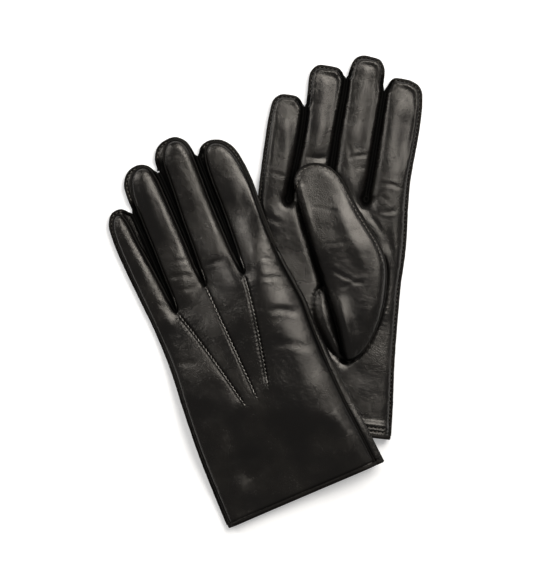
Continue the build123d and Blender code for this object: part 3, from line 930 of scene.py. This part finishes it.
def runs_where(flags):
    """The stretches of a path where flags is true, as slices of three or more points."""
    edges = np.flatnonzero(np.diff(np.concatenate([[0], flags.astype(int), [0]])))
    return [slice(a, b) for a, b in zip(edges[::2], edges[1::2]) if b - a > 2]


WELT_IN, STITCHES_IN, STITCHES_UP = 1.0, 1.75, 0.92
SEAM_PITCH = 2.7


def sewn_edge(side, lift_of):
    """The raised outside seam: two cut edges side by side, stitched on top where the eye can reach them."""
    path, height, crowd, fold = edge_run(side, WELT_IN)
    raised = height + lift_of(path)
    parts = {}
    # Where the fingers crowd, the raised edge is painted in shade.
    for part in runs_where(fold < 0.5):
        seam_runs(side, path[part], raised[part], LIPS, parts, crowd[part])
    merged_by_owner(side, side + "_{}_seam", parts, edge_nappa)
    line, height, crowd, fold = edge_run(side, STITCHES_IN)
    raised = height + lift_of(line) + STITCHES_UP
    parts = {}
    for part in runs_where((crowd < 0.25) & (fold < 0.5)):
        for k, got in stitch_runs(side, line[part], raised[part], SEAM_PITCH, 1.7, 0.4, 0.34).items():
            parts.setdefault(k, []).extend(got)
    merged_by_owner(side, side + "_{}_stitches", parts, thread)


QUIRK = np.array([1.5, 2.4, 0.9])


def quirks(side, lift_of):
    """The small folded gusset sewn in at the foot of each gap between two fingers."""
    parts = []
    a, b = np.meshgrid(np.linspace(0, 2 * math.pi, 13)[:-1], np.linspace(-math.pi / 2, math.pi / 2, 7))
    ball = np.stack([np.cos(a) * np.cos(b), np.sin(a) * np.cos(b), np.sin(b)], -1).reshape(-1, 3) * QUIRK
    for crotch in CROTCH[side]:
        spot = np.array(crotch) + [0, 1.0]
        height = SEAM_UP[side] - SEAM_SINKS - 0.2 + lift_of(spot[None])[0]
        # Each gusset is painted wholly in shade.
        parts.append((to_frame(side, ball + [*spot, height]), ring_faces(7, 12), ball[:, :2],
                      np.ones(len(ball))))
    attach(join_runs(f"{side}_quirks", parts, edge_nappa), f"{side}_hand")


def on_table(uv):
    return np.zeros(len(uv))


sewn_edge("right", on_table)
quirks("right", on_table)
hem_stitches = []
for row in HEM_STITCH_ROWS:
    across = np.stack([np.arange(-51.5, 52.5, 1.0), np.full(104, row)], 1)
    for got in stitch_runs("right", across, right_top(across) + 0.12, 2.5, 1.6, 0.42, 0.4).values():
        hem_stitches += got
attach(join_runs("right_hem_stitches", hem_stitches, thread), "right_hand")


# The right thumb: cut with its own oval base, sewn into the palm, and folded across it. Its left edge is a
# fold; its tip and right edge carry a light line of stitches.
def thumb_skin(side, name, uv, faces, top, bottom, dark=None):
    """A thumb as one closed skin, in place of the CAD thumb."""
    verts, every = closed_skin(uv, faces, top, bottom)
    world = to_frame(side, verts)
    piece = build_piece(name, world, every, np.vstack([uv, uv + [300, 0]]), glove_nappa,
                        vertex_normals(world, every), dark=dark)
    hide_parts(*[f"{side}_thumb_{part}" for part in ("base", "leather", "lining", "welt")])
    return piece


def bend_at_thumb(piece):
    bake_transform(piece)


thumb_uv, thumb_faces = plan_mesh(THUMB_LINE, [], np.zeros((0, 2)), 1.2)
thumb_high = thumb_top(thumb_uv)
bend_at_thumb(thumb_skin("right", "right_thumb_leather_skin", thumb_uv, thumb_faces, thumb_high,
                         np.minimum(thumb_bottom(thumb_uv), thumb_high - THINNEST),
                         np.concatenate([thumb_painted_shade(thumb_uv), np.zeros(len(thumb_uv))])))

tip_at = int(np.argmin(np.linalg.norm(THUMB_LINE - np.array(THUMB_RING[THUMB_TIP]), axis=1)))
thumb_seam_line = np.vstack([THUMB_LINE[tip_at:], THUMB_LINE[:1]])
seam_n = normals_of(thumb_seam_line)
welt_path = mesh_rows(thumb_seam_line + 0.3 * seam_n, thumb_edge(thumb_seam_line) + 0.4)
verts, faces, flat = sweep("right", welt_path, THUMB_LIPS, seam_n)
bend_at_thumb(build_piece("right_thumb_seam", verts, faces, flat, edge_nappa))
free = thumb_seam_line[:, 1] > 112
sewn = thumb_seam_line[free] + 1.7 * seam_n[free]
groups = stitch_runs("right", sewn, thumb_top(sewn) + 0.1, 2.6, 1.8, 0.5, 0.4)
bend_at_thumb(join_runs("right_thumb_stitches", [run for group in groups.values() for run in group], thread))


# The left glove's hand and fingers: palm down, draped over the right glove's side and its own folded thumb.
# The eye sees the back panel, its three stitched points, and the fourchettes beside the fingers.
# The back panel of the left glove is narrower than the glove: beside each finger a fourchette shows, and a
# strip of the palm leather shows along the index side.
BACK_SIDES = ([(-52.2, 0), (-51.8, 25), (-51.0, 50), (-48.4, 83), (-45.9, 107)],
              [(46.8, 114), (46.0, 100), (45.4, 83), (45.6, 50), (47.2, 22), (48.6, 0)])
BACK_CROTCH = [(-29.8, 140.6), (-6.2, 149.0), (19.6, 146.4)]
BACK_EDGE = {
    "little": [(-45.8, 136), (-46.4, 156), (-47.0, 180), (-46.8, 197), (-45.2, 206.5), (-41.4, 211.6),
               (-38.2, 211.2), (-36.2, 205.5), (-35.0, 190), (-33.5, 175), (-32.2, 160), (-31.6, 150)],
    "ring": [(-27.9, 150), (-27.6, 165), (-27.1, 180), (-26.8, 196), (-26.4, 209), (-25.4, 221),
             (-22.4, 229.2), (-18.4, 232.8), (-13.4, 233.4), (-9.8, 230.6), (-8.0, 224), (-7.6, 212),
             (-7.5, 196), (-7.5, 178), (-7.8, 162)],
    "middle": [(-4.2, 162), (-3.3, 175), (-2.5, 190), (-1.2, 205), (-0.1, 219), (0.9, 230), (3.9, 237.4),
               (8.6, 241.2), (13.9, 240.8), (17.4, 236.8), (18.9, 228), (18.5, 212), (17.9, 196),
               (17.7, 178), (17.7, 162)],
    "index": [(22.0, 160), (23.2, 178), (24.1, 194), (24.6, 208), (26.0, 221), (28.6, 227.4), (33.4, 230),
              (38.9, 227.8), (43.0, 221.8), (45.3, 212), (45.9, 198), (45.0, 184), (44.2, 170), (44.0, 156),
              (44.5, 142), (45.9, 127)],
}
BACK_HALF_GAP = 0.8
BACK_SEAM = outline(BACK_SIDES, BACK_CROTCH, BACK_EDGE, BACK_HALF_GAP)
POINT_LINES = [smooth_line([(-29.4, 138.8), (-24.6, 121), (-19.2, 98), (-13.2, 67.8)], 0.5),
               smooth_line([(-6.1, 147.2), (-5.6, 120), (-5.0, 95), (-4.4, 68.9)], 0.5),
               smooth_line([(19.4, 144.6), (15.6, 121), (10.4, 96), (4.6, 71.9)], 0.5)]
RIGHT_FOOTPRINT = closed_ring(SILHOUETTE["right"])
LEFT_THUMB_RING = [(2, 60), (1.5, 90), (1.8, 130), (3.2, 158), (7.5, 168), (19.5, 172.5), (31, 168),
                   (36, 158), (37.2, 130), (37.8, 90), (36, 60), (28, 50), (19.5, 47), (10, 50)]
LEFT_THUMB_LINE = closed_smooth(LEFT_THUMB_RING, 1.2)
BACK_SEAM_UP = 4.9
LEFT_THICK = 8.4
LEFT_ROLL = 0.07
BACK_RING = closed_ring(BACK_SEAM)
LEFT_CREASES = [
    ((34, 150), (45, 140), 0.35, 1.3, 0.8), ((30, 158), (44, 152), 0.25, 1.2, 0.6),
    ((28, 138), (43, 131), 0.3, 1.5, 1.0), ((-26, 162), (-10, 156), 0.35, 1.6, 0.8),
    ((-24, 152), (-12, 150), 0.3, 1.4, -0.5), ((-20, 170), (-8, 166), 0.25, 1.3, 0.5),
    ((-2, 160), (14, 157), 0.2, 1.4, 0.6), ((24, 118), (42, 108), 0.3, 2.0, 1.2),
    ((-40, 150), (-32, 142), 0.25, 1.5, 0.4), ((20, 96), (40, 84), 0.2, 2.2, 1.5),
    ((-44, 110), (-30, 104), 0.25, 2.0, 0.8), ((-40, 40), (-18, 33), 0.3, 2.6, 1.5),
    ((-30, 24), (-10, 30), 0.25, 2.4, -1.0),
]
LEFT_SWELLS = [
    ((-18, 160), (6, 16), 0.7, -4), ((-13, 145), (5, 9), -0.5), ((7, 158), (6, 18), 0.4),
    ((33, 165), (6, 26), 0.6), ((-20, 205), (5, 20), 0.3), ((8, 215), (5, 20), 0.3),
    ((-38, 19), (7, 10), 1.9), ((-38, 42), (7, 10), 1.5), ((37, 26), (8, 24), 1.2),
]
PUCKER = 2.7
CUFF_STITCH_ROW = 2.9


def signed_gap(uv, ring):
    """Distance in from a ring, and below 0 outside it."""
    gap = ring_gap(uv, ring)
    return np.where(inside(uv, ring), gap, -gap)


HELD_UP, THUMB_HOLDS_UP = 9.4, 4.4


def under_lift(uv):
    """How high the right glove holds the left one."""
    over = signed_gap(other_hand("left", "right", uv), RIGHT_FOOTPRINT)
    return HELD_UP * smoothstep(over, -62 + 49 * smoothstep(uv[:, 1], 95, 185), 15)


def thumb_lift(uv):
    """How much more its own folded thumb lifts it."""
    gap = signed_gap(uv, LEFT_THUMB_LINE)
    return THUMB_HOLDS_UP * smoothstep(gap, -22, 12) * (1 - 0.6 * smoothstep(uv[:, 1], 150, 200))


def left_lift(uv):
    return under_lift(uv) + thumb_lift(uv)


def left_top(uv):
    """The back panel puffed inside its seam, and the side leather between that seam and the glove's edge."""
    body, seam, crowd = edge_field("left", uv)
    back = line_distance(uv, BACK_SEAM)[0]
    at_cuff = (uv[:, 1] < 0.5) & (uv[:, 0] > BACK_SEAM[0][0]) & (uv[:, 0] < BACK_SEAM[-1][0])
    on_back = inside(uv, BACK_RING) | at_cuff
    part = body / np.maximum(body + back, 0.05)
    climb = part * (2 - part) * (1 - crowd) + part ** 2 * crowd
    side = seam + SEAM_TO_SKIN + (BACK_SEAM_UP - seam - SEAM_TO_SKIN) * climb
    z = BACK_SEAM_UP + (LEFT_THICK - BACK_SEAM_UP) * dome(back, reach("left", uv))
    z += (0.9 * value_noise(uv, 29, 21) + 0.35 * value_noise(uv, 12, 22)) * smoothstep(back, 1, 9)
    z += wear(uv, LEFT_CREASES, LEFT_SWELLS)
    rolled = smoothstep(uv[:, 1], 146, 176) * smoothstep(back, 0.5, 5) * (uv[:, 0] < 20)
    z += LEFT_ROLL * off_centre("left", uv) * rolled
    for line in POINT_LINES:
        gap, along = line_distance(uv, line)
        left_over = run_of(line)[-1] - along
        fade = smoothstep(left_over, -1, 9) * smoothstep(along, -1, 4)
        z -= fade * (0.5 * ridge(gap, 4.5) + 0.95 * ridge(gap, 1.25))
        z += 0.05 * fade * np.cos(along * 2 * math.pi / PUCKER) * ridge(gap, 1.4, 2.0)
    z += 0.10 * (1 - smoothstep(back, 0.5, 4.5)) * value_noise(uv, 2.2, 27)
    z = np.where(on_back, z, side) - 0.8 * ridge(back, 0.9)
    return left_lift(uv) + z - 0.4 * ridge(uv[:, 1], 0.6, CUFF_STITCH_ROW)


# Painted shade: near-black colour along the back seam and the outer seam, in the gaps where the fingers
# crowd, in the grooves beside the points, and along the cuff stitch row.
def left_painted_shade(uv):
    body, _, crowd = edge_field("left", uv)
    back = line_distance(uv, BACK_SEAM)[0]
    sewn = np.where((uv[:, 0] > 40) & (uv[:, 1] < OWN_FOLD_TO), 0.0, 1.0)
    dark = ridge(back, 1.55 - 0.65 * sewn) + sewn * ridge(body, 0.7)
    dark += 0.7 * crowd * ~inside(uv, BACK_RING)
    for line in POINT_LINES:
        gap, along = line_distance(uv, line)
        dark += ridge(gap, 1.5) * smoothstep(run_of(line)[-1] - along, -1, 4)
    return np.clip(dark + 0.8 * ridge(uv[:, 1], 0.6, CUFF_STITCH_ROW), 0, 1)


def left_bottom(uv):
    d, seam, _ = edge_field("left", uv)
    return left_lift(uv) + (seam - SEAM_TO_SKIN) * (1 - dome(d, reach("left", uv)))


POINT_ROWS = [-3.2, -2.3, -1.6, -1.1, -0.55, 0.0, 0.55, 1.1, 1.6, 2.3, 3.2]
BACK_ROWS = [-1.5, -0.8, 0.8, 1.5, 2.4]
skin_of("left", [BACK_SEAM],
        np.vstack([rows_beside(line, POINT_ROWS) for line in POINT_LINES]
                  + [rows_beside(BACK_SEAM, BACK_ROWS), rows_across((1.5, 2.2, 2.9, 3.6, 4.4))]),
        left_top, left_bottom, left_painted_shade)
sewn_edge("left", left_lift)
quirks("left", left_lift)
back_line = BACK_SEAM[BACK_SEAM[:, 1] > EDGE_FROM]
back_parts = {}
to_crotch = np.min([np.linalg.norm(back_line - crotch, axis=1) for crotch in BACK_CROTCH], axis=0)
# Near each crotch the cord sinks and is painted in shade.
sunk_and_shaded = 1 - smoothstep(to_crotch, 3, 9)
seam_runs("left", back_line, left_lift(back_line) + BACK_SEAM_UP - 0.35 - 0.9 * sunk_and_shaded, CORD, back_parts, sunk_and_shaded)
merged_by_owner("left", "left_{}_back_seam", back_parts, edge_nappa)


# Each point is a fine tuck, pinched up and oversewn by hand, so it winds a little from stitch to stitch.
# The pinched leather is a lighter and shinier copy of the nappa, so each ridge carries a painted highlight,
# and the thread is finer.
tuck_highlight_nappa = nappa("black_pinched_nappa_painted_highlight", "181614", 0.2, 0.3, 1.0, shade_dims_shine=False)
fine_thread = plain_thread("fine_black_thread", "151413", "3a3733", 0.35)
TUCK_UP, TUCK_WINDS, BEYOND_CROTCH = 0.95, 0.30, 15
tucks, tuck_stitches = [], []
for line in POINT_LINES:
    along, n = run_of(line), normals_of(line)
    turn = along * 2 * math.pi / PUCKER
    ends = smoothstep(along, 0, 3) * smoothstep(along[-1] - along, 0, 4)
    wound = line + (TUCK_WINDS * np.sin(turn))[:, None] * n
    crest = left_top(line) + TUCK_UP * ends - 0.35 + 0.07 * np.cos(turn)
    tucks.append(sweep("left", mesh_rows(wound, crest), CORD, n))
    for side_of, slant in ((-0.75, 0.5), (0.75, -0.5)):
        beside = (line + side_of * n)[2:-6]
        for got in stitch_runs("left", beside, (crest - 0.25)[2:-6], PUCKER, 1.2, 0.26, 0.28, slant).values():
            tuck_stitches += got
for crotch in BACK_CROTCH:
    beyond = BACK_SEAM[int(np.argmin(np.linalg.norm(BACK_SEAM - crotch, axis=1))) + 1:]
    rim = beyond[run_of(beyond) < BEYOND_CROTCH] + np.array([0.35, 0])
    along = run_of(rim)
    ends = smoothstep(along, 0, 3) * smoothstep(along[-1] - along, 0, 8)
    tucks.append(sweep("left", mesh_rows(rim, left_lift(rim) + BACK_SEAM_UP - 0.9 + 0.9 * ends),
                       [(0.7 * off, 0.7 * up) for off, up in CORD], normals_of(rim)))
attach(join_runs("left_points", tucks, tuck_highlight_nappa), "left_hand")
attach(join_runs("left_point_stitches", tuck_stitches, fine_thread), "left_hand")


# The left thumb: the same cut as the right one, folded flat under the palm.
# It fills the room the glove's own lift leaves for it, and only its edge can be seen.
folded_uv, folded_faces = plan_mesh(LEFT_THUMB_LINE, [], np.zeros((0, 2)), 2.0)
room = np.maximum(thumb_lift(folded_uv) - 0.35, 0.6)
half = room / 2 * (0.5 + 0.5 * dome(ring_gap(folded_uv, LEFT_THUMB_LINE), 5))
middle = under_lift(folded_uv) + 0.1 + room / 2
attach(thumb_skin("left", "left_thumb_skin", folded_uv, folded_faces, middle + half, middle - half),
        "left_hand")


# The cuffs: a narrow strip of leather folded round the raw edge and stitched down, with a dark knitted lining
# inside that shows only at the mouth.
def knit(name):
    """Fine dark jersey: rows of small loops."""
    material, tree = new_material(name)
    place = add_node(tree, "ShaderNodeUVMap", {"uv_map": "leather"})
    wales, rows = [add_node(tree, "ShaderNodeTexWave",
                            {"wave_type": "BANDS", "bands_direction": across, "wave_profile": "SIN"},
                            {"Vector": place.outputs["UV"], "Scale": scale, "Distortion": 1.2, "Detail": 2.0})
                   for across, scale in (("X", 26.0), ("Y", 34.0))]
    loops = add_node(tree, "ShaderNodeMath", {"operation": "MULTIPLY"},
                     {0: wales.outputs["Fac"], 1: rows.outputs["Fac"]})
    bump = add_node(tree, "ShaderNodeBump",
                    links={"Height": loops.outputs["Value"], "Distance": 0.0003, "Strength": 0.8})
    tone = add_node(tree, "ShaderNodeMix", {"data_type": "RGBA"},
                    {"Factor": loops.outputs["Value"], "A": linear("121214"), "B": linear("2e2d30")})
    shader = add_node(tree, "ShaderNodeBsdfPrincipled",
                      links={"Base Color": tone.outputs["Result"], "Roughness": 0.95,
                             "Normal": bump.outputs["Normal"]})
    shader.inputs["Sheen Weight"].default_value = 0.3
    add_node(tree, "ShaderNodeOutputMaterial", links={"Surface": shader.outputs["BSDF"]})
    return material


lining_knit = knit("dark_jersey_lining")


def side_limits(side, v):
    """The glove's two edges at a height v above the cuff."""
    path = SILHOUETTE[side]
    low = path[(path[:, 0] < 0) & (path[:, 1] < 115)]
    high = path[(path[:, 0] > 0) & (path[:, 1] < 115)][::-1]
    return np.interp(v, low[:, 1], low[:, 0]), np.interp(v, high[:, 1], high[:, 0])


def mouth_loop(side, top_of, bottom_of, v, inset):
    """A ring (u, z) round the glove at a height v, along the top and back along the bottom."""
    low_u, high_u = side_limits(side, v)
    u = np.linspace(low_u + inset, high_u - inset, 90)
    flat = np.stack([u, np.full(len(u), v)], 1)
    top = top_of(flat)
    low = np.minimum(bottom_of(flat), top - 0.6)
    loop = np.vstack([np.stack([u, top], 1), np.stack([u[::-1], low[::-1]], 1)[1:-1]])
    d = np.roll(loop, -1, 0) - np.roll(loop, 1, 0)
    d /= np.linalg.norm(d, axis=1, keepdims=True)
    return loop, np.stack([-d[:, 1], d[:, 0]], 1)


BINDING = [(2.3, 0.0), (2.1, 0.35), (1.2, 0.5), (0.2, 0.42), (-0.3, 0.1), (-0.4, -0.35), (-0.2, -0.85),
           (0.2, -1.05), (2.2, -1.05)]


LINING_REACH = 72.0


def cuff(side, top_of, bottom_of):
    """The binding round one glove's mouth, and the lining behind it as far as can be seen."""
    loop, out = mouth_loop(side, top_of, bottom_of, 1.0, 0.9)
    rows = [np.stack([loop[:, 0] + off * out[:, 0], np.full(len(loop), v), loop[:, 1] + off * out[:, 1]], 1)
            for v, off in BINDING + BINDING[:1]]
    run = np.arange(len(loop)) * 1.2
    flat = np.vstack([np.stack([run, np.full(len(loop), k * 1.0)], 1) for k in range(len(rows))])
    binding = build_piece(f"{side}_binding", to_frame(side, np.vstack(rows)),
                          ring_faces(len(rows), len(loop)), flat, edge_nappa)
    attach(binding, f"{side}_hand")
    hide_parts(f"{side}_cuff_binding")
    rows = []
    for v in np.linspace(1.0, LINING_REACH, 30):
        ring, out = mouth_loop(side, top_of, bottom_of, v, 2.6)
        ring = ring - 1.05 * out
        rows.append(np.stack([ring[:, 0], np.full(len(ring), v), ring[:, 1]], 1))
    rows.append(np.tile(rows[-1].mean(0), (len(rows[-1]), 1)))
    m = len(rows[0])
    flat = np.stack([np.tile(np.arange(m) * 1.2, len(rows)), np.repeat(np.arange(len(rows)) * 2.4, m)], 1)
    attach(build_piece(f"{side}_lining", to_frame(side, np.vstack(rows)), ring_faces(len(rows), m), flat,
                        lining_knit), f"{side}_hand")


cuff("right", right_top, right_bottom)
cuff("left", left_top, left_bottom)
